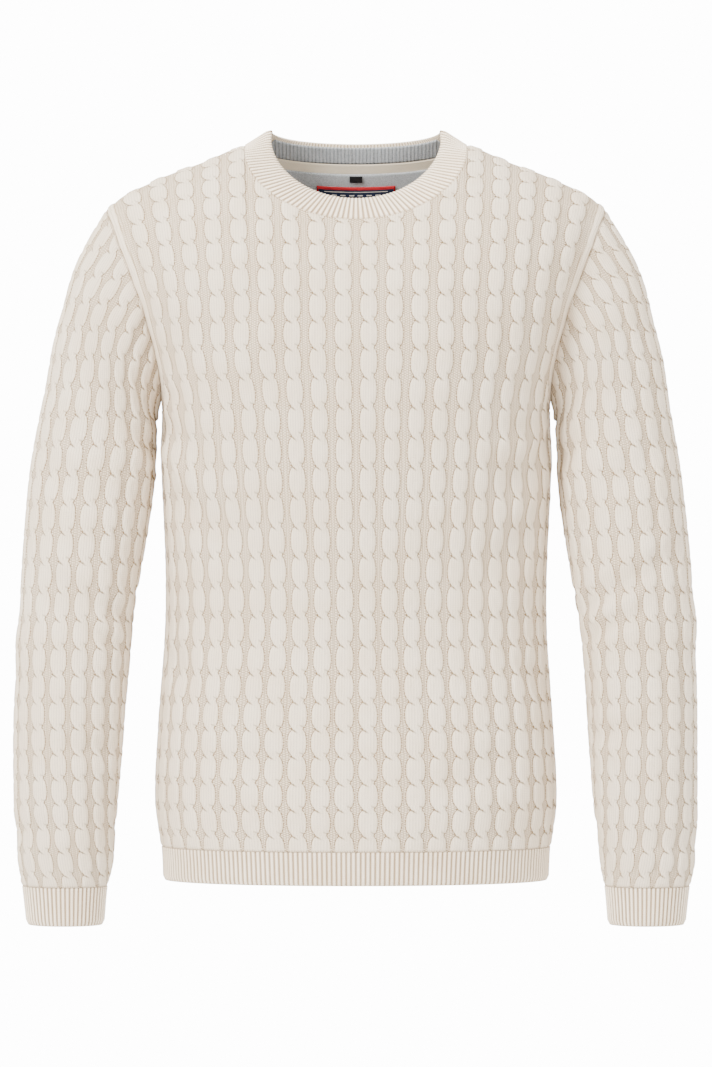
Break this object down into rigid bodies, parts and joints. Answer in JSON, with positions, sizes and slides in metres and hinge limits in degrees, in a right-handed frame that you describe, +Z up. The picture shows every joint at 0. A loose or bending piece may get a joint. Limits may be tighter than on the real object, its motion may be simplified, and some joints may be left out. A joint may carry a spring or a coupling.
{
  "type": "cable knit sweater",
  "caption": "Long-sleeved cable knit sweater with a ribbed crew neck, hem and cuffs, in its worn, hollow shape with the arms down.",
  "frame": {"origin": "middle of the neck opening on the line of the shoulders, where the wearer's neck carries the garment", "axes": "+Z up, -Y the front of the garment, +X the wearer's left (the viewer's right)"},
  "size_m": [0.6324, 0.2379, 0.7335],
  "materials": {
    "cream_knit": "matte cable knit",
    "cream_rib": "matte ribbed knit",
    "grey_knit": "matte melange knit",
    "tape": "matte twill",
    "label": "satin weave",
    "tab": "satin weave"
  },
  "bodies": {
    "root": {"front_panel": "cream_knit", "back_panel": "cream_knit", "left_sleeve": "cream_knit", "right_sleeve": "cream_knit", "neckband": "cream_rib", "hem_rib": "cream_rib", "left_cuff": "cream_rib", "right_cuff": "cream_rib", "neckband_lining": "grey_knit", "back_neck_facing": "grey_knit", "neck_tape": "tape", "neck_label": "label", "size_tab": "tab"}
  },
  "joints": []
}
